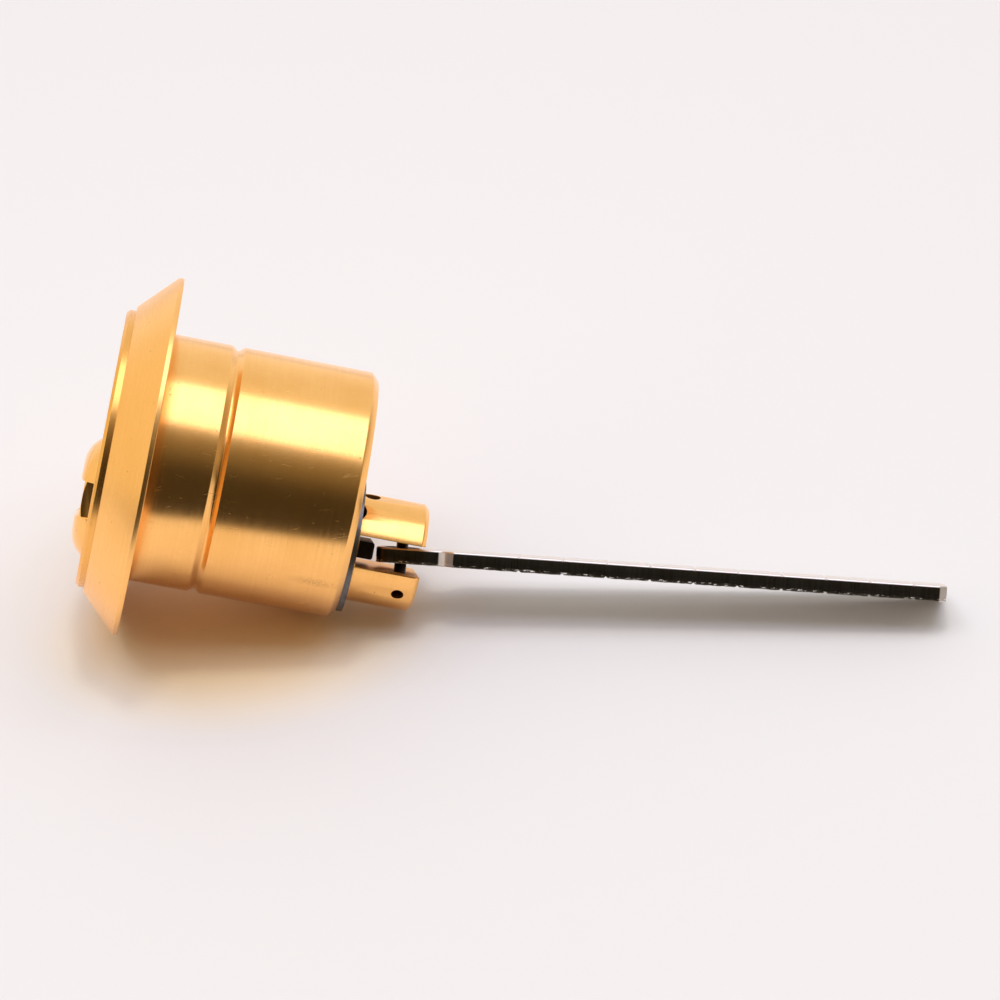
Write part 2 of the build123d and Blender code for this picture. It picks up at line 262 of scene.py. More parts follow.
def turned(corners, rounding, centre=BARREL_LINE, steps=64, sweep=FULL_TURN, start=0.0):
    """A bmesh turned about a line along Y from an outline of (radius, y) corners, its corners rounded.

    A corner given a third value keeps that radius instead, and 0 leaves it sharp.
    """
    bm = bmesh.new()
    on_axis = [index for index, corner in enumerate(corners) if corner[0] < WELD]
    verts = [bm.verts.new((corner[0], corner[1], 0.0)) for corner in corners]
    bm.faces.new(verts)
    radii = {}
    for vert, corner in zip(verts, corners):
        radius = corner[2] if len(corner) > 2 else rounding
        if corner[0] > WELD and radius > 0:
            radii.setdefault(radius, []).append(vert)
    for radius, group in radii.items():
        bmesh.ops.bevel(bm, geom=group, offset=radius, affect="VERTICES", segments=4, profile=0.5,
                        material=-1, clamp_overlap=True)
    bmesh.ops.delete(bm, geom=bm.faces[:], context="FACES_ONLY")
    if on_axis:
        spine = [e for e in bm.edges if all(v.co.x < WELD for v in e.verts)]
        bmesh.ops.delete(bm, geom=spine, context="EDGES")
    whole = sweep >= FULL_TURN
    if start:
        bmesh.ops.rotate(bm, verts=bm.verts, matrix=Matrix.Rotation(start, 3, "Y"))
    ends = [v.co.copy() for v in bm.verts]
    bmesh.ops.spin(bm, geom=bm.verts[:] + bm.edges[:], cent=(0, 0, 0), axis=(0, 1, 0), dvec=(0, 0, 0),
                   angle=sweep, steps=steps, use_merge=whole)
    bmesh.ops.remove_doubles(bm, verts=bm.verts, dist=WELD)
    if not whole:
        bmesh.ops.holes_fill(bm, edges=[e for e in bm.edges if e.is_boundary], sides=len(ends) + 1)
    bmesh.ops.recalc_face_normals(bm, faces=bm.faces)
    bmesh.ops.translate(bm, verts=bm.verts, vec=centre)
    return bm


def rod(start, direction, diameter, reach, steps=48):
    """A plain closed rod that begins at a point and runs along a direction."""
    bm = bmesh.new()
    place = Vector(direction).to_track_quat("Z", "Y").to_matrix().to_4x4()
    place.translation = Vector(start) + Vector(direction).normalized() * reach / 2
    bmesh.ops.create_cone(bm, cap_ends=True, segments=steps, radius1=diameter / 2, radius2=diameter / 2,
                          depth=reach, matrix=place)
    return bm


def block(low, high):
    """A plain closed block between two corners."""
    bm = bmesh.new()
    size = Vector(high) - Vector(low)
    place = Matrix.Translation((Vector(high) + Vector(low)) / 2) @ Matrix.Diagonal((*size, 1))
    bmesh.ops.create_cube(bm, size=1.0, matrix=place)
    return bm


def bar_of(corners, reach):
    """A closed bar along Z with an outline of (x, y) corners, as far each way as its reach."""
    bm = bmesh.new()
    verts = [bm.verts.new((x, y, -reach)) for x, y in corners]
    run = bmesh.ops.extrude_face_region(bm, geom=[bm.faces.new(verts)])
    moved = [v for v in run["geom"] if isinstance(v, bmesh.types.BMVert)]
    bmesh.ops.translate(bm, verts=moved, vec=(0, 0, 2 * reach))
    bmesh.ops.recalc_face_normals(bm, faces=bm.faces)
    return bm


def mesh_object(bm, name):
    """An object made from a bmesh, which is freed."""
    mesh = bpy.data.meshes.new(name)
    bm.to_mesh(mesh)
    bm.free()
    piece = bpy.data.objects.new(name, mesh)
    bpy.context.scene.collection.objects.link(piece)
    return piece


def settled(piece):
    """The piece with its modifiers made part of its mesh."""
    bpy.context.view_layer.update()
    graph = bpy.context.evaluated_depsgraph_get()
    mesh = bpy.data.meshes.new_from_object(piece.evaluated_get(graph))
    old = piece.data
    piece.modifiers.clear()
    piece.data = mesh
    bpy.data.meshes.remove(old)
    return piece


def cut(piece, tools, operation="DIFFERENCE"):
    """Takes each tool's shape out of the piece, or keeps what they share."""
    made = []
    for number, bm in enumerate(tools):
        tool = mesh_object(bm, f"cutter_{number}")
        tool.hide_render = True
        modifier = piece.modifiers.new(tool.name, "BOOLEAN")
        modifier.operation = operation
        modifier.solver = "EXACT"
        modifier.object = tool
        made.append(tool)
    settled(piece)
    for tool in made:
        bpy.data.meshes.remove(tool.data)
    return piece


def eased(piece, width, segments=2, limit=30.0):
    """Takes the sharpness off the edges that the cutters left."""
    modifier = piece.modifiers.new("eased", "BEVEL")
    modifier.width = width
    modifier.segments = segments
    modifier.limit_method = "ANGLE"
    modifier.angle_limit = math.radians(limit)
    modifier.use_clamp_overlap = True
    return settled(piece)


def smoothed(piece, limit=28.0):
    """Shades the piece smooth, apart from its real edges."""
    mesh = piece.data
    mesh.polygons.foreach_set("use_smooth", [True] * len(mesh.polygons))
    mesh.set_sharp_from_angle(angle=math.radians(limit))
    return piece


def finished(piece, body, material, nodes=()):
    """Gives a piece its metal, body and slot, and hides the solids that it stands for."""
    smoothed(piece)
    piece.data.materials.clear()
    piece.data.materials.append(material)
    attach(piece, body)
    if nodes:
        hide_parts(*nodes)
    return piece


# Node helpers

def add(tree, kind, **values):
    """A node with some of its own settings."""
    node = tree.nodes.new(kind)
    for key, value in values.items():
        setattr(node, key, value)
    return node


def feed(tree, socket, value):
    """Links a socket to another, or gives it a plain value."""
    if isinstance(value, bpy.types.NodeSocket):
        tree.links.new(value, socket)
    else:
        socket.default_value = value


def maths(tree, operation, first, second=0.0, clamp=False):
    """One sum of two values."""
    node = add(tree, "ShaderNodeMath", operation=operation, use_clamp=clamp)
    feed(tree, node.inputs[0], first)
    feed(tree, node.inputs[1], second)
    return node.outputs[0]


def plus(tree, first, second, clamp=False):
    """Two values added."""
    return maths(tree, "ADD", first, second, clamp)


def less(tree, first, second):
    """The first value less the second."""
    return maths(tree, "SUBTRACT", first, second)


def times(tree, first, second):
    """Two values multiplied."""
    return maths(tree, "MULTIPLY", first, second)


def larger(tree, first, second):
    """The larger of two values."""
    return maths(tree, "MAXIMUM", first, second)


def split(tree, vector):
    """The three parts of a vector."""
    node = add(tree, "ShaderNodeSeparateXYZ")
    feed(tree, node.inputs[0], vector)
    return node.outputs


def joined(tree, *parts):
    """A vector made of three parts."""
    node = add(tree, "ShaderNodeCombineXYZ")
    for socket, part in zip(node.inputs, parts):
        feed(tree, socket, part)
    return node.outputs[0]


def vectors(tree, operation, first, second=(0.0, 0.0, 0.0), result=0):
    """One sum of two vectors."""
    node = add(tree, "ShaderNodeVectorMath", operation=operation)
    feed(tree, node.inputs[0], first)
    feed(tree, node.inputs[1], second)
    return node.outputs[result]


def off_axis(tree, axes):
    """Distance from the Y axis."""
    return vectors(tree, "LENGTH", joined(tree, axes[0], 0.0, axes[2]), result="Value")


def ranged(tree, value, low, high, to_low=0.0, to_high=1.0, kind="SMOOTHSTEP"):
    """A value carried from one range to another."""
    node = add(tree, "ShaderNodeMapRange", interpolation_type=kind)
    for name, given in (("Value", value), ("From Min", low), ("From Max", high),
                        ("To Min", to_low), ("To Max", to_high)):
        feed(tree, node.inputs[name], given)
    return node.outputs["Result"]


def blended(tree, share, first, second):
    """A mix of two colours."""
    node = add(tree, "ShaderNodeMix", data_type="RGBA")
    feed(tree, node.inputs[0], share)
    for socket, given in ((node.inputs[6], first), (node.inputs[7], second)):
        feed(tree, socket, given if isinstance(given, bpy.types.NodeSocket) else (*given, 1.0))
    return node.outputs[2]


def stretched(tree, position, scale, turn=(0.0, 0.0, 0.0), place=(0.0, 0.0, 0.0)):
    """Coordinates turned, stretched and moved for a pattern."""
    node = add(tree, "ShaderNodeMapping")
    feed(tree, node.inputs["Vector"], position)
    node.inputs["Location"].default_value = place
    node.inputs["Rotation"].default_value = turn
    node.inputs["Scale"].default_value = scale
    return node.outputs[0]


def cloudy(tree, position, scale, detail=3.0, roughness=0.5):
    """A noise between 0 and 1."""
    node = add(tree, "ShaderNodeTexNoise")
    feed(tree, node.inputs["Vector"], position)
    feed(tree, node.inputs["Scale"], scale)
    node.inputs["Detail"].default_value = detail
    node.inputs["Roughness"].default_value = roughness
    return node.outputs["Fac"]


def mixed(tree, share, first, second):
    """A mix of two shaders."""
    node = add(tree, "ShaderNodeMixShader")
    for socket, given in zip(node.inputs, (share, first, second)):
        feed(tree, socket, given)
    return node.outputs[0]


def group(name, inputs, outputs):
    """An empty node group with named inputs and outputs."""
    tree = bpy.data.node_groups.new(name, "ShaderNodeTree")
    for label, kind, default in inputs:
        socket = tree.interface.new_socket(name=label, in_out="INPUT", socket_type=kind)
        if default is not None:
            socket.default_value = default
    for label, kind in outputs:
        tree.interface.new_socket(name=label, in_out="OUTPUT", socket_type=kind)
    return tree, add(tree, "NodeGroupInput").outputs, add(tree, "NodeGroupOutput").inputs


def placed(tree, name, **values):
    """A node group used in a material, with its inputs set by label."""
    node = add(tree, "ShaderNodeGroup", node_tree=bpy.data.node_groups[name])
    for label, value in values.items():
        feed(tree, node.inputs[label.replace("_", " ")], value)
    return node.outputs


VECTOR, NUMBER = "NodeSocketVector", "NodeSocketFloat"


def make_turning_lines():
    """Fine rings left by the lathe, along the outline of a piece turned about Y."""
    tree, given, result = group("Turning Lines", [("Position", VECTOR, None), ("Pitch", NUMBER, 8.0)],
                                [("Lines", NUMBER)])
    axes = split(tree, given["Position"])
    along = plus(tree, times(tree, off_axis(tree, axes), 0.83), axes[1])
    ringed = times(tree, along, given["Pitch"])
    place = joined(tree, times(tree, axes[0], 0.03), ringed, times(tree, axes[2], 0.03))
    feed(tree, result["Lines"], cloudy(tree, place, 1.0, 4.0, 0.65))


def make_scratches():
    """Thin straight scratches, drawn on the surface unrolled from its axis."""
    tree, given, result = group("Scratches", [("Position", VECTOR, None), ("Width", NUMBER, 0.02)],
                                [("Mask", NUMBER)])
    axes = split(tree, given["Position"])
    turn = maths(tree, "ARCTAN2", axes[0], axes[2])
    sheet = joined(tree, times(tree, turn, 12.0), plus(tree, axes[1], off_axis(tree, axes)), 0.0)
    total = 0.0
    for lean, aside in ((84, 0.0), (95, 30.0), (72, 60.0)):
        turned_sheet = stretched(tree, sheet, (1.0, 1.0, 1.0), (0.0, 0.0, math.radians(lean)))
        long_way = stretched(tree, turned_sheet, (0.05, 0.9, 1.0), place=(aside, 0.0, aside))
        line = maths(tree, "ABSOLUTE", less(tree, cloudy(tree, long_way, 1.0, 0.0), 0.5))
        thin = ranged(tree, line, 0.0, given["Width"], 1.0, 0.0)
        spread = stretched(tree, turned_sheet, (0.35, 0.9, 1.0), place=(0.0, aside, 0.0))
        patch = ranged(tree, cloudy(tree, spread, 1.0, 1.0), 0.62, 0.70)
        total = larger(tree, total, times(tree, thin, patch))
    feed(tree, result["Mask"], total)


def make_specks():
    """Small round pits and specks, sown unevenly."""
    inputs = [("Position", VECTOR, None), ("Scale", NUMBER, 1.5), ("Size", NUMBER, 0.12), ("Share", NUMBER, 0.3)]
    tree, given, result = group("Specks", inputs, [("Mask", NUMBER)])
    cell = add(tree, "ShaderNodeTexVoronoi", feature="F1")
    feed(tree, cell.inputs["Vector"], given["Position"])
    feed(tree, cell.inputs["Scale"], given["Scale"])
    pick = add(tree, "ShaderNodeSeparateColor")
    feed(tree, pick.inputs[0], cell.outputs["Color"])
    kept = maths(tree, "LESS_THAN", pick.outputs[0], given["Share"])
    size = times(tree, given["Size"], plus(tree, pick.outputs[1], 0.3))
    uneven = times(tree, less(tree, cloudy(tree, given["Position"], 9.0), 0.5), 0.12)
    ragged = plus(tree, cell.outputs["Distance"], uneven)
    dot = ranged(tree, ragged, times(tree, size, 0.6), size, 1.0, 0.0)
    feed(tree, result["Mask"], times(tree, dot, kept))


def make_smudge():
    """A stippled stain round one place, long along Y."""
    tree, given, result = group("Smudge", [("Position", VECTOR, None), ("Centre", VECTOR, None),
                                           ("Reach", NUMBER, 1.0)], [("Mask", NUMBER)])
    gap = stretched(tree, vectors(tree, "SUBTRACT", given["Position"], given["Centre"]), (1.0, 0.22, 1.0))
    size = vectors(tree, "LENGTH", gap, result="Value")
    near = ranged(tree, maths(tree, "DIVIDE", size, given["Reach"]), 0.1, 1.0, 1.0, 0.0)
    dots = ranged(tree, cloudy(tree, given["Position"], 7.0, 3.0, 0.7), 0.44, 0.62)
    feed(tree, result["Mask"], times(tree, near, dots))


def make_patches():
    """Broad soft patches, for the change of tone over a surface."""
    tree, given, result = group("Patches", [("Position", VECTOR, None), ("Scale", NUMBER, 0.12)],
                                [("Mask", NUMBER)])
    field = cloudy(tree, given["Position"], given["Scale"], 4.0, 0.6)
    feed(tree, result["Mask"], ranged(tree, field, 0.35, 0.7))


def new_material(name):
    """A material with its shader, and the surface's own place in millimetres."""
    material = bpy.data.materials.new(name)
    material.use_nodes = True
    tree = material.node_tree
    shader = tree.nodes["Principled BSDF"]
    place = add(tree, "ShaderNodeTexCoord")
    scaled = stretched(tree, place.outputs["Object"], (1 / MM, 1 / MM, 1 / MM))
    return material, tree, shader, scaled


def set_bump(tree, shader, height, depth):
    """Raises the surface by a height of so many micrometres."""
    bump = add(tree, "ShaderNodeBump")
    bump.inputs["Strength"].default_value = 1.0
    bump.inputs["Distance"].default_value = depth * MM * MM
    feed(tree, bump.inputs["Height"], height)
    feed(tree, shader.inputs["Normal"], bump.outputs[0])


def brass(name, axis=(0.0, 0.0, 0.0), pitch=8.0, sheen=0.16, spread=0.10, aged=0.35, pits=0.25,
          depth=2.0, smudge=None, smudge_reach=2.0, dull=None, worn_rough=0.26):
    """Brass with the lathe's rings about its own axis, stray scratches, pits and aged patches.

    What dull names gives two masks from the place on the piece: under the first the brass is deeper in tone and
    rougher, and under the second it is darkened nearly to the tarnish colour as painted shade.
    """
    colours = settings().finish
    material, tree, shader, place = new_material(name)
    shader.inputs["Metallic"].default_value = 1.0
    here = vectors(tree, "SUBTRACT", place, axis)
    lines = placed(tree, "Turning Lines", Position=here, Pitch=pitch)["Lines"]
    scratch = placed(tree, "Scratches", Position=here)["Mask"]
    specks = placed(tree, "Specks", Position=here, Scale=1.3, Size=0.10, Share=pits)["Mask"]
    grain = cloudy(tree, here, 4.5, 4.0, 0.65)
    patches = placed(tree, "Patches", Position=here)["Mask"]
    old = times(tree, patches, aged)
    if dull:
        worn, painted_hole_shade = dull(tree, here)
        old = larger(tree, old, times(tree, worn, 0.75))
    tone = blended(tree, old, colours.brass, colours.brass_deep)
    rings = blended(tree, ranged(tree, lines, 0.3, 0.75, 0.0, 0.22), tone, colours.brass_deep)
    lined = blended(tree, ranged(tree, grain, 0.45, 0.75, 0.0, 0.30), rings, colours.brass_deep)
    dirt_and_hole_shade = times(tree, specks, 0.8)
    if smudge:
        mark = placed(tree, "Smudge", Position=place, Centre=smudge, Reach=smudge_reach)["Mask"]
        dirt_and_hole_shade = larger(tree, dirt_and_hole_shade, times(tree, mark, 0.5))
    rough = ranged(tree, lines, 0.25, 0.8, sheen, sheen + spread, "LINEAR")
    if dull:
        # Painted shade: the drilled holes are darkened nearly to the tarnish colour.
        dirt_and_hole_shade = larger(tree, dirt_and_hole_shade, times(tree, painted_hole_shade, 0.93))
        rough = plus(tree, rough, times(tree, worn, worn_rough))
    feed(tree, shader.inputs["Base Color"], blended(tree, dirt_and_hole_shade, lined, colours.tarnish))
    rough = plus(tree, rough, times(tree, scratch, 0.10))
    feed(tree, shader.inputs["Roughness"], plus(tree, rough, times(tree, dirt_and_hole_shade, 0.35), True))
    height = less(tree, lines, times(tree, scratch, 0.5))
    height = plus(tree, height, times(tree, grain, 0.6))
    set_bump(tree, shader, less(tree, height, times(tree, specks, 1.5)), depth)
    return material


def dull_head(tree, place):
    """Masks for the barrel: the head plate's brass is deeper in tone and rougher, and no hole gets painted
    shade.
    """
    plate = settings().sizes.collar_lip / MM
    return maths(tree, "LESS_THAN", split(tree, place)[1], -plate), 0.0


def dull_fork(tree, place):
    """Masks for the plug: the walls of the fork's slot are worn, and the drilled holes get painted shade."""
    plug = settings().plug
    axes = split(tree, place)
    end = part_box("plug")[1].y / MM
    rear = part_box("housing")[1].y / MM
    skin = plug.body / 2 / MM - 0.12
    wall = plug.slot_width / 2 / MM + 0.06
    fork = times(tree, maths(tree, "GREATER_THAN", axes[1], rear - 2.0),
                 maths(tree, "LESS_THAN", off_axis(tree, axes), skin))
    sunk = times(tree, fork, maths(tree, "LESS_THAN", axes[1], end - 0.6))
    beside = maths(tree, "GREATER_THAN", maths(tree, "ABSOLUTE", axes[0]), wall)
    return times(tree, fork, less(tree, 1.0, beside)), times(tree, sunk, beside)


def steel(name, base, sheen=0.25, spread=0.2, depth=2.0, pitch=6.0, worn=0.15):
    """Steel with fine turned lines, brown specks and rubbed patches."""
    colours = settings().finish
    material, tree, shader, place = new_material(name)
    shader.inputs["Metallic"].default_value = 1.0
    lines = placed(tree, "Turning Lines", Position=place, Pitch=pitch)["Lines"]
    specks = placed(tree, "Specks", Position=place, Scale=2.0, Size=0.16, Share=0.3)["Mask"]
    patches = placed(tree, "Patches", Position=place, Scale=0.5)["Mask"]
    rubbed = blended(tree, times(tree, patches, worn), base, colours.steel)
    stained = blended(tree, times(tree, specks, 0.5), rubbed, colours.tarnish)
    feed(tree, shader.inputs["Base Color"], stained)
    feed(tree, shader.inputs["Roughness"], ranged(tree, lines, 0.2, 0.8, sheen, sheen + spread, "LINEAR"))
    set_bump(tree, shader, less(tree, lines, specks), depth)
    return material


def bar_plate(name, turn, hinge_place):
    """Plated steel: satin faces, and sheared edges, streaked and torn, made near-black as painted shade, with
    painted glints by the burr and painted highlights at the shoulder and tip.
    """
    bar = settings().bar
    colours = settings().finish
    material, tree, shader, place = new_material(name)
    shader.inputs["Metallic"].default_value = 1.0
    local = stretched(tree, place, (1.0, 1.0, 1.0), turn)
    streaks = cloudy(tree, stretched(tree, local, (0.25, 5.0, 0.25)), 1.0, 4.0, 0.65)
    grain = cloudy(tree, stretched(tree, local, (3.0, 0.5, 3.0)), 1.5, 5.0, 0.6)
    specks = placed(tree, "Specks", Position=local, Scale=1.6, Size=0.14, Share=0.35)["Mask"]
    edge = add(tree, "ShaderNodeAttribute", attribute_name="sheared")
    uneven = times(tree, less(tree, streaks, 0.5), 0.25)
    torn = ranged(tree, plus(tree, edge.outputs["Fac"], uneven), 0.35, 0.6)
    along = less(tree, split(tree, local)[1], hinge_place)
    start = bar.shoulder / MM
    slope = times(tree, ranged(tree, along, start - 0.85, start - 0.65),
                  ranged(tree, along, start + 1.05, start + 1.15, 1.0, 0.0))
    tip = (bar.reach - bar.tongue_back - bar.tip_chamfer) / MM
    slope = larger(tree, slope, ranged(tree, along, tip - 0.05, tip + 0.15))
    # Painted highlight: pale and grey patches on the sheared edge at the shoulder and tip.
    painted_edge_highlight = times(tree, slope, torn)
    beyond = ranged(tree, along, start - 0.1, start + 0.15)
    bare = blended(tree, beyond, colours.highlight_pale, colours.highlight_grey)
    # Painted glints: near-white flecks in a band by the burr side.
    through = add(tree, "ShaderNodeAttribute", attribute_name="through").outputs["Fac"]
    band = times(tree, ranged(tree, through, 0.80, 0.86), ranged(tree, through, 0.94, 0.97, 1.0, 0.0))
    flecks = cloudy(tree, stretched(tree, local, (5.0, 1.6, 1.0)), 1.0, 4.0, 0.7)
    painted_glints = times(tree, band, ranged(tree, flecks, 0.57, 0.60))
    plated = blended(tree, ranged(tree, grain, 0.35, 0.75, 0.0, 0.35), colours.nickel, colours.steel)
    # Painted shade: the sheared steel is near-black for the dark it reflects.
    sheared = blended(tree, ranged(tree, streaks, 0.4, 0.7, 0.0, 0.35), colours.painted_dark_edge, colours.dark_steel)
    base = blended(tree, painted_edge_highlight, blended(tree, torn, plated, sheared), bare)
    base = blended(tree, painted_glints, base, colours.burr)
    # Painted glints and painted highlights are made barely metallic, so they stay bright under any light.
    bright = larger(tree, painted_glints, painted_edge_highlight)
    feed(tree, shader.inputs["Metallic"], less(tree, 1.0, times(tree, bright, 0.7)))
    stained = blended(tree, times(tree, specks, 0.6), base, colours.tarnish)
    feed(tree, shader.inputs["Base Color"], stained)
    feed(tree, shader.inputs["Roughness"], ranged(tree, streaks, 0.2, 0.8, 0.24, 0.42, "LINEAR"))
    set_bump(tree, shader, plus(tree, streaks, times(tree, grain, 0.6)), 3.5)
    return material


# Pieces

def head_radius():
    """Radius of the head plate."""
    sizes = settings().sizes
    return sizes.barrel / 2 + sizes.head_overhang


def face_y():
    """Place of the head plate's face."""
    sizes = settings().sizes
    return -(sizes.collar_depth + sizes.head_proud)


def barrel_blank(steps):
    """The head plate and barrel as they leave the lathe."""
    sizes = settings().sizes
    radius = sizes.barrel / 2
    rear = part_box("housing")[1].y
    relief = radius - sizes.relief
    half = sizes.groove_width / 2
    return turned([
        (0, face_y()),
        (head_radius() - sizes.head_bevel, face_y(), 0.04 * MM),
        (head_radius(), face_y() + sizes.head_bevel, 0.04 * MM),
        (head_radius(), -sizes.collar_lip),
        (relief, -sizes.collar_lip, 0),
        (relief, 0, 0),
        (radius, 0),
        (radius, sizes.groove_place - half),
        (radius - sizes.groove_depth, sizes.groove_place + sizes.groove_skew, 0.2 * MM),
        (radius, sizes.groove_place + half),
        (radius, rear - sizes.rear_chamfer, 0.12 * MM),
        (radius - sizes.rear_chamfer, rear),
        (0, rear),
    ], sizes.edge_round, steps=steps)


def chamber_places():
    """Places of the pin chambers along the plug."""
    plug = settings().plug
    return [plug.pin_first + plug.pin_pitch * (number - 1) for number in PINS]


def leaning(lean):
    """The direction across the plug that leans from +Z towards +X."""
    return Vector((math.sin(lean), 0, math.cos(lean)))


class RIMCYLINDER_OT_housing(bpy.types.Operator):
    """Turn the housing, drill it, and set the plugs that close its pin chambers"""
    bl_idname = "rim_cylinder.housing"
    bl_label = "Housing and chamber plugs"

    def execute(self, context):
        sizes = settings().sizes
        plug = settings().plug
        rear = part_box("housing")[1].y
        metal = brass("barrel_brass", pitch=7.0, smudge=(10.2, 21.4, 11.0), smudge_reach=0.95,
                      dull=dull_head, worn_rough=0.06)
        line = Vector((plug.offset, 0, 0))
        bore = plug.body / 2 + plug.clearance
        seat = plug.head / 2 + plug.clearance
        seat_end = face_y() + plug.head_depth + plug.end_play
        ease = 0.15 * MM
        bored = turned([
            (0, face_y() - MM),
            (seat + ease + MM, face_y() - MM, 0),
            (seat, face_y() + ease, 0),
            (seat, seat_end, 0),
            (bore, seat_end, 0),
            (bore, rear - ease, 0),
            (bore + ease + MM, rear + MM, 0),
            (0, rear + MM),
        ], 0, centre=line, steps=160)
        tools = [bored]
        for y in chamber_places():
            tools.append(rod((plug.offset, y, 0), (-1, 0, 0), plug.chamber, sizes.barrel))
        housing = cut(mesh_object(barrel_blank(sizes.turned_steps), "housing_turned"), tools)
        spots = [Vector((-sizes.fixing_side, 0, side * sizes.fixing_spread)) for side in (-1, 1)]
        cut(housing, [self.fixing_hole(sizes, rear, spot) for spot in spots])
        finished(housing, "housing", metal, ["housing"])
        run = sizes.fixing_depth - 1.8 * MM
        for number, spot in enumerate(spots, start=1):
            foot = spot + Vector((0, rear - run - 0.3 * MM, 0))
            thread = mesh_object(screw_thread(sizes, foot, run), f"fixing_thread_{number}")
            finished(thread, "housing", metal)
        for number, y in zip(PINS, chamber_places()):
            name = f"chamber_plug_{number}"
            low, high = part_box(name)
            rod_mesh = rod((high.x, y, 0), (-1, 0, 0), high.z - low.z, 2 * (high.x - low.x))
            stem = mesh_object(rod_mesh, f"{name}_turned")
            cut(stem, [barrel_blank(sizes.turned_steps)], "INTERSECT")
            finished(stem, "housing", metal, [name])
        return {"FINISHED"}

    def fixing_hole(self, sizes, rear, spot):
        """The shape that the drill and tap take out for one fixing screw."""
        inner = sizes.thread_inner
        outer = sizes.thread_outer
        foot = rear - sizes.fixing_depth
        return turned([
            (0, foot - 1.2 * MM),
            (inner, foot, 0),
            (inner, foot + MM, 0),
            (outer, foot + 1.4 * MM, 0),
            (outer, rear - 0.2 * MM, 0),
            (outer + 1.2 * MM, rear + MM, 0),
            (0, rear + MM),
        ], 0, centre=spot, steps=64)


def screw_thread(sizes, foot, reach, steps=40):
    """The inside thread of a fixing hole, as one helical ridge with a flat back."""
    bm = bmesh.new()
    pitch = sizes.thread_pitch
    turns = round(reach / pitch) - 1
    back = sizes.thread_outer + 0.03 * MM
    tip = sizes.thread_inner
    ridge = [(back, 0.06 * MM), (tip, 0.36 * MM), (tip, 0.46 * MM), (back, 0.74 * MM)]
    verts = [bm.verts.new((radius, y, 0)) for radius, y in ridge]
    edges = [bm.edges.new((verts[index - 1], verts[index])) for index in range(len(verts))]
    bmesh.ops.spin(bm, geom=verts + edges, cent=(0, 0, 0), axis=(0, 1, 0),
                   dvec=(0, pitch / steps, 0), angle=FULL_TURN * turns, steps=steps * turns, use_merge=False)
    bmesh.ops.remove_doubles(bm, verts=bm.verts, dist=WELD)
    bmesh.ops.holes_fill(bm, edges=[e for e in bm.edges if e.is_boundary], sides=8)
    bmesh.ops.recalc_face_normals(bm, faces=bm.faces)
    bmesh.ops.translate(bm, verts=bm.verts, vec=foot)
    return bm


class RIMCYLINDER_OT_collar(bpy.types.Operator):
    """Turn the conical collar"""
    bl_idname = "rim_cylinder.collar"
    bl_label = "Collar"

    def execute(self, context):
        sizes = settings().sizes
        recess = head_radius() + sizes.recess_play
        front = recess + sizes.collar_front_wall
        rim = front + sizes.collar_flare
        bore = sizes.barrel / 2 + sizes.collar_play
        metal = brass("collar_brass", pitch=11.0, sheen=0.24, spread=0.12, aged=0.2, depth=1.2)
        collar = mesh_object(turned([
            (front, -sizes.collar_depth, 0.05 * MM),
            (rim, -sizes.collar_band, 0.04 * MM),
            (rim, 0, 0.13 * MM),
            (bore, 0),
            (bore, -sizes.collar_lip),
            (recess, -sizes.collar_lip, 0.03 * MM),
            (recess, -sizes.collar_depth, 0.05 * MM),
        ], sizes.edge_round, steps=sizes.turned_steps), "collar_turned")
        finished(collar, "collar", metal, ["collar"])
        return {"FINISHED"}


def arc_through(first, via, last, steps):
    """Points on the round stretch from first to last through via, both ends left out."""
    (ax, ay), (bx, by), (cx, cy) = first, via, last
    twice = 2 * (ax * (by - cy) + bx * (cy - ay) + cx * (ay - by))
    a2, b2, c2 = ax * ax + ay * ay, bx * bx + by * by, cx * cx + cy * cy
    ox = (a2 * (by - cy) + b2 * (cy - ay) + c2 * (ay - by)) / twice
    oy = (a2 * (cx - bx) + b2 * (ax - cx) + c2 * (bx - ax)) / twice
    radius = math.hypot(ax - ox, ay - oy)
    start = math.atan2(ay - oy, ax - ox)
    end = math.atan2(cy - oy, cx - ox)
    return [(ox + radius * math.cos(start + (end - start) * step / steps),
             oy + radius * math.sin(start + (end - start) * step / steps)) for step in range(1, steps)]


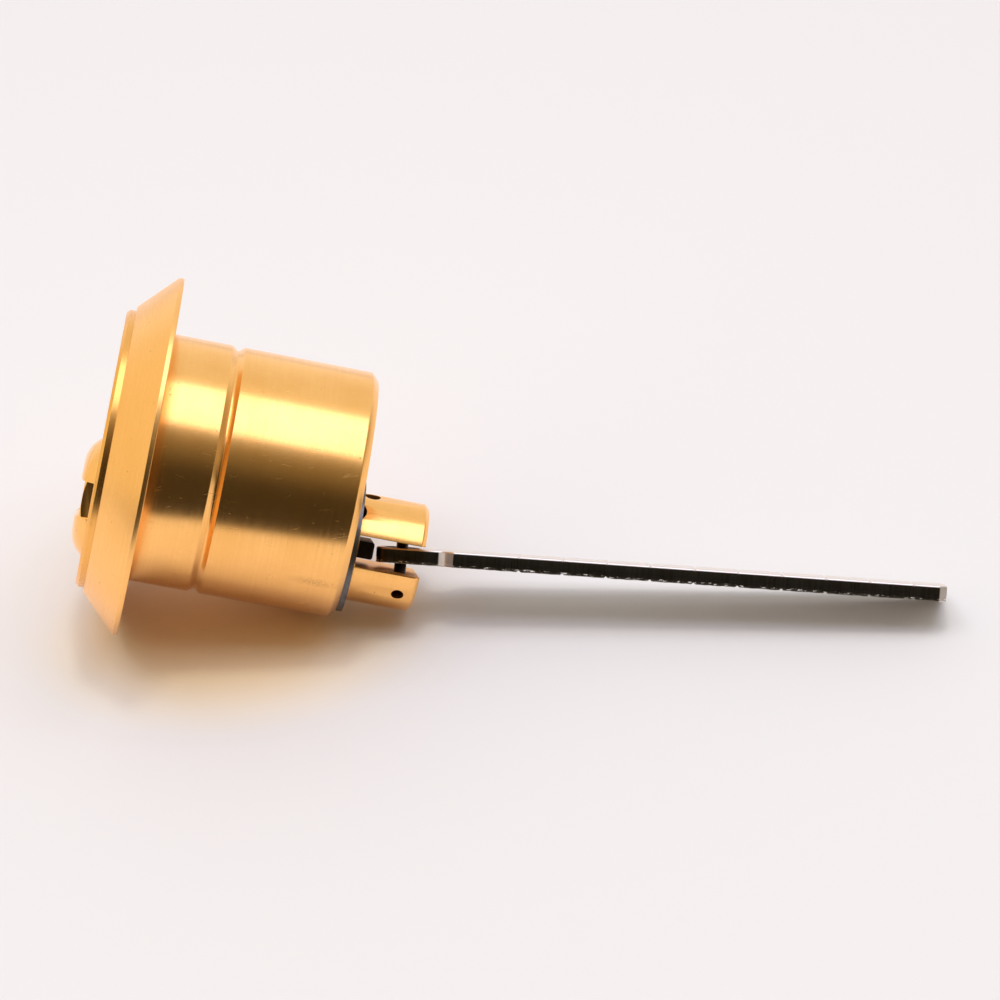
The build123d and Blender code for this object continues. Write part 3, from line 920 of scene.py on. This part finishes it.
class RIMCYLINDER_OT_plug(bpy.types.Operator):
    """Turn the plug, then mill its channel, keyway, fork and holes"""
    bl_idname = "rim_cylinder.plug"
    bl_label = "Plug"

    def execute(self, context):
        sizes = settings().sizes
        plug = settings().plug
        line = Vector((plug.offset, 0, 0))
        radius = plug.body / 2
        crown = face_y() - plug.dome_height
        fork_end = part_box("plug")[1].y
        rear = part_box("housing")[1].y
        ring_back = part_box("retaining_ring")[1].y
        groove = radius - plug.ring_groove
        flat = (plug.dome_flat / 2, crown)
        shoulder = (plug.dome_shoulder / 2, face_y() - plug.dome_shoulder_height)
        brim = (plug.head / 2, face_y())
        dome = [(*point, 0) for point in arc_through(flat, shoulder, brim, 14)]
        blank = turned([
            (0, crown),
            (*flat, 0.25 * MM),
            *dome,
            (*brim, 0),
            (plug.head / 2, face_y() + plug.head_depth),
            (radius, face_y() + plug.head_depth, 0),
            (radius, rear, 0.03 * MM),
            (groove, rear, 0),
            (groove, ring_back + 0.05 * MM, 0),
            (radius, ring_back + 0.05 * MM, 0.03 * MM),
            (radius, fork_end - plug.end_chamfer, 0.08 * MM),
            (radius - plug.end_chamfer, fork_end, 0.06 * MM),
            (0, fork_end),
        ], sizes.edge_round, centre=line, steps=plug.turned_steps)
        piece = mesh_object(blank, "plug_turned")
        cut(piece, self.tools(plug, line, crown, fork_end, ring_back))
        metal = brass("plug_brass", axis=(plug.offset / MM, 0, 0), pitch=9.0, sheen=0.14, spread=0.10,
                      pits=0.3, dull=dull_fork)
        eased(piece, 0.045 * MM)
        finished(piece, "plug", metal, ["plug"])
        return {"FINISHED"}

    def tools(self, plug, line, crown, fork_end, ring_back):
        """The shapes that the cutters and drills take out of the plug."""
        stop_low, stop_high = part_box("key_stop")
        half = plug.channel_width / 2
        floor = crown + plug.channel_depth
        lip = plug.channel_lip
        reach = plug.head
        extra = 0.5 * MM
        corners = [(-half - lip - extra, crown - extra), (-half, crown + lip), (-half, floor),
                   (half, floor), (half, crown + lip), (half + lip + extra, crown - extra)]
        tools = [bar_of([(line.x + x, y) for x, y in corners], reach)]
        for side in (-1, 1):
            near = side * plug.block_length / 2
            far = side * plug.head
            tools.append(block((line.x - half, crown - extra, min(near, far)),
                               (line.x + half, face_y(), max(near, far))))
        key_half = plug.keyway_width / 2
        key_high = plug.keyway_height / 2
        tools.append(block((line.x - key_half, crown - extra, -key_high),
                           (line.x + key_half, stop_low.y, key_high)))
        play = 0.02 * MM
        slot_floor = ring_back + 0.2 * MM
        tools.append(block((stop_low.x - play, stop_low.y - play, stop_low.z - play),
                           (stop_high.x + play, slot_floor + play, stop_high.z + play)))
        tools.append(block((line.x - plug.slot_width / 2, slot_floor, -plug.body),
                           (line.x + plug.slot_width / 2, fork_end + extra, plug.body)))
        lip_out = key_half + 1.0 * MM
        for y in chamber_places():
            tools.append(rod((line.x - lip_out, y, 0), (-1, 0, 0), plug.chamber, plug.body / 2))
            tools.append(rod((line.x, y, 0), (-1, 0, 0), plug.pin_way, plug.body / 2))
        across = leaning(plug.cross_angle)
        cross = line + Vector((0, fork_end - plug.cross_from_end, 0))
        tools.append(rod(cross - across * plug.body, across, plug.cross_hole, 2 * plug.body, 40))
        side_way = leaning(-plug.side_angle)
        side_floor = side_way * (plug.body / 2 - plug.side_hole_floor)
        side_start = line + Vector((0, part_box("housing")[1].y, 0)) + side_floor
        tools.append(rod(side_start, side_way, plug.side_hole, plug.body / 2))
        small_way = leaning(-plug.small_angle)
        small_start = line + Vector((0, fork_end - plug.small_from_end, 0)) + small_way * plug.slot_width / 4
        tools.append(rod(small_start, small_way, plug.small_hole, plug.body / 2 + MM))
        return tools


class RIMCYLINDER_OT_plug_fittings(bpy.types.Operator):
    """Give the retaining ring, key stop, cross pin and the pins their metals, and make the springs in the
    chambers
    """
    bl_idname = "rim_cylinder.plug_fittings"
    bl_label = "Ring, stop, pins and springs"

    def execute(self, context):
        finish = settings().finish
        nodes = frame["nodes"]
        ring = steel("ring_steel", finish.dark_steel, sheen=0.25, pitch=9.0)
        black = steel("stop_steel", finish.black_steel, sheen=0.35, worn=0.03)
        bright = steel("pin_steel", finish.steel, sheen=0.15)
        pin_brass = brass("pin_brass", pitch=6.0, sheen=0.2)
        for name, metal, slot in (("retaining_ring", ring, "ring_steel"), ("key_stop", black, "stop_steel"),
                                  ("tail_pin", black, "stop_steel")):
            dress(nodes[name], metal)
        for number, y in zip(PINS, chamber_places()):
            dress(nodes[f"key_pin_{number}"], pin_brass)
            dress(nodes[f"driver_pin_{number}"], bright)
            name = f"pin_spring_{number}"
            low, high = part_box(name)
            coil = mesh_object(spring(low, high, y), f"{name}_coil")
            finished(coil, "housing", bright, [name])
            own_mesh(coil)
        return {"FINISHED"}


def dress(node, metal):
    """Gives a solid that keeps its shape its metal and slot."""
    node.data.materials.clear()
    node.data.materials.append(metal)


def spring(low, high, y, wire=0.3 * MM, turns=6, steps=28):
    """A coil of round wire that runs along X between two places."""
    bm = bmesh.new()
    radius = (high.z - low.z - wire) / 2
    climb = high.x - low.x - wire
    ring = bmesh.ops.create_circle(bm, cap_ends=False, segments=10, radius=wire / 2)["verts"]
    for axis in "YZ":
        bmesh.ops.rotate(bm, verts=ring, matrix=Matrix.Rotation(math.pi / 2, 3, axis))
    bmesh.ops.translate(bm, verts=ring, vec=(0, 0, radius))
    edges = list({e for v in ring for e in v.link_edges})
    count = turns * steps
    bmesh.ops.spin(bm, geom=ring + edges, cent=(0, 0, 0), axis=(1, 0, 0), dvec=(climb / count, 0, 0),
                   angle=FULL_TURN * turns, steps=count, use_merge=False)
    bmesh.ops.remove_doubles(bm, verts=bm.verts, dist=WELD)
    bmesh.ops.holes_fill(bm, edges=[e for e in bm.edges if e.is_boundary], sides=12)
    bmesh.ops.recalc_face_normals(bm, faces=bm.faces)
    bmesh.ops.translate(bm, verts=bm.verts, vec=(low.x + wire / 2, y, (low.z + high.z) / 2))
    return bm


# The sheared edge of the bar: share of the thickness, how far it stands out in mm, how much of the near-black
# edge colour it takes, which is painted shade
EDGE_LEVELS = ((0.0, -0.16, 0.0), (0.03, -0.07, 0.0), (0.08, -0.02, 0.2), (0.16, 0.0, 0.9),
               (0.32, 0.0, 1.0), (0.5, 0.0, 1.0), (0.62, -0.01, 1.0), (0.68, -0.03, 1.0),
               (0.74, -0.05, 1.0), (0.8, -0.06, 1.0), (0.86, -0.06, 1.0), (0.92, -0.05, 0.9),
               (0.97, -0.04, 0.4), (1.0, -0.05, 0.0))


class RIMCYLINDER_OT_tail_bar(bpy.types.Operator):
    """Stamp the tail bar, with its scores, its round shoulder and the burr along its edge"""
    bl_idname = "rim_cylinder.tail_bar"
    bl_label = "Tail bar"

    def execute(self, context):
        bar = settings().bar
        plug = settings().plug
        across = leaning(plug.cross_angle)
        hinge = leaning(plug.cross_angle - math.pi / 2)
        lean = (Matrix.Rotation(bar.swing, 3, across) @ Matrix.Rotation(bar.rock, 3, hinge)
                @ Matrix.Rotation(bar.roll, 3, "Y"))
        pin = Vector((plug.offset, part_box("plug")[1].y - plug.cross_from_end, 0))
        bm = self.stamping(bar)
        place = Matrix.Translation(pin) @ lean.to_4x4()
        piece = mesh_object(bm, "tail_bar_stamped")
        tools = [rod((-bar.thickness, 0, 0), (1, 0, 0), bar.hole, 2 * bar.thickness, 72)]
        for number in range(bar.score_count):
            along = bar.score_first + number * bar.score_pitch
            for side in (-1, 1):
                tools.append(self.score(bar, along, side))
        cut(piece, tools)
        piece.data.transform(place)
        turn = lean.inverted().to_euler("XYZ")
        metal = bar_plate("bar_plate", turn, (lean.inverted() @ pin).y / MM)
        finished(piece, "tail_bar", metal, ["tail_bar"])
        return {"FINISHED"}

    def outline(self, bar):
        """The flat outline of the bar in Y and Z, its corners rounded and its long sides divided finely."""
        bm = bmesh.new()
        half = bar.width / 2
        neck = bar.tongue / 2
        tip = bar.reach - bar.tongue_back
        upper = [(-bar.tongue_back, neck), (bar.shoulder, neck), (bar.shoulder + bar.shoulder_run, half),
                 (tip - bar.tip_chamfer, half), (tip, half - bar.tip_chamfer)]
        lower = [(along, -side) for along, side in reversed(upper)]
        verts = [bm.verts.new((0, along, side)) for along, side in upper + lower]
        bm.faces.new(verts)
        for indexes, radius, segments in (((0, 9), bar.tongue_corner, 10), ((1, 8), bar.shoulder_fillet, 8)):
            bmesh.ops.bevel(bm, geom=[verts[index] for index in indexes], offset=radius * 0.9,
                            affect="VERTICES", segments=segments, profile=0.5, material=-1)
        fine = 0.28 * MM
        for edge in [e for e in bm.edges if e.calc_length() > 2 * fine]:
            bmesh.ops.subdivide_edges(bm, edges=[edge], cuts=int(edge.calc_length() / fine) - 1)
        return bm

    def stamping(self, bar):
        """The bar's thickness: rolled over where the die went in, torn and burred where it came out."""
        bm = self.outline(bar)
        base = bm.faces[:][0]
        outward = bm.verts.layers.float_vector.new("outward")
        sheared = bm.verts.layers.float.new("sheared")
        through = bm.verts.layers.float.new("through")
        base.normal_update()
        way = base.normal.copy()
        for loop in base.loops:
            after = (loop.link_loop_next.vert.co - loop.vert.co).normalized()
            before = (loop.vert.co - loop.link_loop_prev.vert.co).normalized()
            loop.vert[outward] = (after + before).normalized().cross(way)
        rim = list(base.edges)
        points = {}
        depth, inset, dark = EDGE_LEVELS[0]
        for vert in bm.verts:
            vert[sheared] = dark
            points[vert] = vert.co.copy()
            vert.co = points[vert] + Vector(vert[outward]) * inset * MM + Vector((-bar.thickness / 2, 0, 0))
        for depth, inset, dark in EDGE_LEVELS[1:]:
            origin = {v: points[v] for e in rim for v in e.verts}
            run = bmesh.ops.extrude_edge_only(bm, edges=rim)["geom"]
            fresh = [g for g in run if isinstance(g, bmesh.types.BMVert)]
            kept = set(fresh)
            edges = [g for g in run if isinstance(g, bmesh.types.BMEdge)]
            rim = [e for e in edges if all(v in kept for v in e.verts)]
            for vert in fresh:
                below = next(e.other_vert(vert) for e in vert.link_edges if e.other_vert(vert) in origin)
                points[vert] = origin[below]
                vert[outward] = below[outward]
                vert[sheared] = dark
                vert[through] = depth
                self.place_on_edge(vert, points[vert], Vector(vert[outward]), depth, inset, bar)
        bmesh.ops.edgeloop_fill(bm, edges=rim)
        bmesh.ops.triangulate(bm, faces=[f for f in bm.faces if len(f.verts) > 4])
        bmesh.ops.recalc_face_normals(bm, faces=bm.faces)
        return bm

    def place_on_edge(self, vert, point, outward, depth, inset, bar):
        """Sets one point of the sheared edge, rougher the nearer it is to the side where the die came out."""
        rough = max(0.0, (depth - 0.6) / 0.4)
        here = Vector((depth * 2.2, point.y / MM * 1.7, point.z / MM * 1.7))
        tear = noise.noise(here) * 0.05 + noise.noise(here * 3.1) * 0.035
        lump = max(0.0, noise.noise(here * Vector((0.4, 0.8, 0.8))) - 0.05) * bar.burr / MM * 2.0
        out = inset + rough * tear + (lump if depth > 0.85 else 0.0) * rough
        sink = noise.noise(here + Vector((9, 4, 2))) * 0.03 * rough
        vert.co = point + outward * out * MM + Vector(((depth - 0.5 + sink) * bar.thickness, 0, 0))

    def score(self, bar, along, side):
        """The V shape that a score takes out of one wide face."""
        face = side * bar.thickness / 2
        half = bar.score_width / 2
        deep = bar.score_depth
        extra = 0.3 * MM
        grow = (deep + extra) / deep
        return bar_of([(face + side * extra, along - half * grow), (face - side * deep, along),
                       (face + side * extra, along + half * grow)], bar.width)


# Stage

# The room's brightness round the cylinder's axis: degrees from the camera's side, level
ROOM_LEVELS = ((-60, 0.75), (-43, 0.05), (-6, 0.055), (4, 0.095), (14, 0.19), (24, 0.27), (36, 0.5),
               (50, 0.87), (110, 0.92), (130, 1.0), (150, 1.1))


class RIMCYLINDER_OT_stage(bpy.types.Operator):
    """Set the camera, the lamps, the pale floor and the studio round the cylinder"""
    bl_idname = "rim_cylinder.stage"
    bl_label = "Stage"

    def execute(self, context):
        stage = settings().stage
        self.camera(stage)
        upright = self.upright(stage)
        self.floor(stage, upright)
        self.studio(stage)
        out = Vector((upright.x, 0, upright.z)).normalized()
        high = stage.lamp_height
        self.lamp("softbox", out, (high, -0.28), (1.1, 0.573), 4.2, (0.80, 0.785, 0.98))
        bare = self.lamp("bare_lamp", out, (high, -0.12), (0.10, 0.10), 0.8, (1.0, 0.95, 0.75))
        bare.visible_glossy = False
        context.scene.view_settings.view_transform = "Standard"
        return {"FINISHED"}

    def upright(self, stage):
        """The way up from the floor that the cylinder lies on."""
        out = Vector((-math.sin(stage.floor_roll), 0, math.cos(stage.floor_roll)))
        return out * math.cos(stage.floor_slope) - Vector((0, 1, 0)) * math.sin(stage.floor_slope)

    def camera(self, stage):
        """The camera at the photograph's place."""
        data = bpy.data.cameras.new("camera")
        data.sensor_width = 36.0
        data.lens = stage.focal_pixels / stage.picture * data.sensor_width
        data.clip_start = 0.01
        data.clip_end = 50.0
        camera = bpy.data.objects.new("camera", data)
        bpy.context.scene.collection.objects.link(camera)
        facing = Matrix(((0, 1, 0), (-1, 0, 0), (0, 0, 1)))
        onto = (Matrix.Rotation(-stage.spin, 3, "Z") @ facing @ Matrix.Rotation(-stage.tilt, 3, "X")
                @ Matrix.Rotation(stage.roll, 3, "Y"))
        middle = stage.picture / 2
        right = (stage.aim_column - middle) / stage.focal_pixels
        up = (middle - stage.aim_row) / stage.focal_pixels
        aim = Vector((right, up, -1.0)) * stage.distance
        turn = onto.transposed()
        place = turn.to_4x4()
        place.translation = Vector((0, stage.aim, 0)) - turn @ aim
        camera.matrix_world = place
        bpy.context.scene.camera = camera

    def lamp(self, name, out, place, size, power, tint):
        """A lamp so high over the cylinder and so far along it, seen only in what it lights."""
        data = bpy.data.lights.new(name, "AREA")
        data.shape = "RECTANGLE"
        data.size, data.size_y = size
        data.energy = power
        data.color = tint
        lamp = bpy.data.objects.new(name, data)
        bpy.context.scene.collection.objects.link(lamp)
        turn = (-out).to_track_quat("-Z", "Y").to_matrix().to_4x4()
        turn.translation = out * place[0] + Vector((0, place[1], 0))
        lamp.matrix_world = turn
        lamp.visible_camera = False
        return lamp

    def floor(self, stage, upright):
        """A wide pale sheet under the collar's rim and the barrel's rear edge, with painted bounce light near
        the barrel.

        The camera sees through it from beneath, and from above where a moved piece lies beneath it. Beyond a
        line towards the camera, glossy rays see a painted dark reflection on it.
        """
        bm = bmesh.new()
        bmesh.ops.create_grid(bm, x_segments=8, y_segments=8, size=3.0)
        lie = upright.to_track_quat("Z", "Y").to_matrix().to_4x4()
        lie.translation = upright * -cad_high.x * math.cos(stage.floor_slope)
        bmesh.ops.transform(bm, verts=bm.verts, matrix=lie)
        floor = mesh_object(bm, "floor")
        finish = settings().finish
        material, tree, shader, place = new_material("floor_paper")
        light = add(tree, "ShaderNodeLightPath").outputs
        # Painted light: a warm glow round the glow place, in the colour the camera sees, stands in for light
        # bounced off the brass.
        gap = stretched(tree, vectors(tree, "SUBTRACT", place, stage.glow_place), (1.0, 0.75, 1.0))
        size = vectors(tree, "LENGTH", gap, result="Value")
        warm = ranged(tree, size, stage.glow_inner, stage.glow_outer, 1.0, 0.0)
        seen = blended(tree, warm, finish.floor_seen, finish.glow)
        feed(tree, shader.inputs["Base Color"], blended(tree, light["Is Camera Ray"], finish.floor, seen))
        shader.inputs["Roughness"].default_value = 0.6
        shader.inputs["Specular IOR Level"].default_value = 0.2
        forward = Vector((0, 1, 0)).cross(upright).normalized()
        spot = add(tree, "ShaderNodeTexCoord").outputs["Object"]
        near = vectors(tree, "DOT_PRODUCT", spot, forward, "Value")
        past = ranged(tree, near, stage.dark_reflection_from * 0.75, stage.dark_reflection_from * 1.25)
        # Painted reflection: a dark sheet that only glossy rays see, past the line, gives the brass a dark band;
        # the camera still sees the pale floor.
        painted_dark_reflection = add(tree, "ShaderNodeBsdfDiffuse")
        painted_dark_reflection.inputs["Color"].default_value = (0.05, 0.045, 0.04, 1.0)
        edge = mixed(tree, times(tree, past, light["Is Glossy Ray"]), shader.outputs[0], painted_dark_reflection.outputs[0])
        behind = add(tree, "ShaderNodeNewGeometry").outputs["Backfacing"]
        under = add(tree, "ShaderNodeAmbientOcclusion", samples=12, inside=True)
        under.inputs["Distance"].default_value = stage.see_through
        sunk = ranged(tree, under.outputs["AO"], 0.94, 0.99, 1.0, 0.0, "LINEAR")
        clear = add(tree, "ShaderNodeBsdfTransparent").outputs[0]
        beneath = mixed(tree, larger(tree, behind, sunk), edge, clear)
        surface = mixed(tree, light["Is Camera Ray"], edge, beneath)
        tree.links.new(surface, tree.nodes["Material Output"].inputs["Surface"])
        floor.data.materials.append(material)

    def studio(self, stage):
        """A pale room that is dark behind the camera, so that brass which faces the camera goes dark."""
        world = bpy.data.worlds.new("studio")
        bpy.context.scene.world = world
        world.use_nodes = True
        tree = world.node_tree
        sky = tree.nodes["Background"]
        axes = split(tree, add(tree, "ShaderNodeTexCoord").outputs["Generated"])
        turn = maths(tree, "ARCTAN2", times(tree, axes[0], -1.0), axes[2])
        ramp = add(tree, "ShaderNodeValToRGB")
        feed(tree, ramp.inputs[0], ranged(tree, turn, -math.pi, math.pi, 0.0, 1.0, "LINEAR"))
        while len(ramp.color_ramp.elements) < len(ROOM_LEVELS):
            ramp.color_ramp.elements.new(0.5)
        for element, (degrees, level) in zip(ramp.color_ramp.elements, ROOM_LEVELS):
            element.position = (degrees + 180) / 360
            green, blue = (0.82, 0.52) if level < 0.3 else (0.955, 0.90)
            element.color = (level, level * green, level * blue, 1.0)
        fore = ranged(tree, axes[1], -0.85, -0.6, 1.0, 0.0)
        aft = ranged(tree, axes[1], 0.6, 0.85)
        lit = blended(tree, fore, ramp.outputs[0], (1.0, 0.88, 0.66))
        feed(tree, sky.inputs["Color"], blended(tree, aft, lit, (0.48, 0.40, 0.28)))
        white = add(tree, "ShaderNodeBackground")
        white.inputs["Color"].default_value = (0.92, 0.88, 0.86, 1.0)
        camera_ray = add(tree, "ShaderNodeLightPath").outputs["Is Camera Ray"]
        seen = mixed(tree, camera_ray, sky.outputs[0], white.outputs[0])
        tree.links.new(seen, tree.nodes["World Output"].inputs["Surface"])


class RIMCYLINDER_PT_panel(bpy.types.Panel):
    """Lists the cylinder's pieces and their settings"""
    bl_idname = "RIMCYLINDER_PT_panel"
    bl_label = "Rim cylinder"
    bl_space_type = "VIEW_3D"
    bl_region_type = "UI"
    bl_category = "Rim cylinder"

    def draw(self, context):
        kept = context.scene.rim_cylinder
        for maker in MAKERS:
            self.layout.operator(maker.bl_idname)
        for part in (kept.sizes, kept.plug, kept.bar, kept.finish, kept.stage):
            box = self.layout.box()
            for name in part.__annotations__:
                box.prop(part, name)


GROUPS = (RimCylinderSizes, RimCylinderPlug, RimCylinderBar, RimCylinderFinish, RimCylinderStage,
          RimCylinderSettings)
MAKERS = (RIMCYLINDER_OT_stage, RIMCYLINDER_OT_housing, RIMCYLINDER_OT_collar, RIMCYLINDER_OT_plug,
          RIMCYLINDER_OT_plug_fittings, RIMCYLINDER_OT_tail_bar)
CLASSES = GROUPS + MAKERS + (RIMCYLINDER_PT_panel,)


def register():
    for kind in CLASSES:
        bpy.utils.register_class(kind)
    bpy.types.Scene.rim_cylinder = PointerProperty(type=RimCylinderSettings)


def unregister():
    del bpy.types.Scene.rim_cylinder
    for kind in reversed(CLASSES):
        bpy.utils.unregister_class(kind)


def main():
    register()
    for make in (make_turning_lines, make_scratches, make_specks, make_smudge, make_patches):
        make()
    bpy.ops.rim_cylinder.stage()
    bpy.ops.rim_cylinder.housing()
    bpy.ops.rim_cylinder.collar()
    bpy.ops.rim_cylinder.plug()
    bpy.ops.rim_cylinder.plug_fittings()
    bpy.ops.rim_cylinder.tail_bar()


if __name__ == "__main__":
    main()
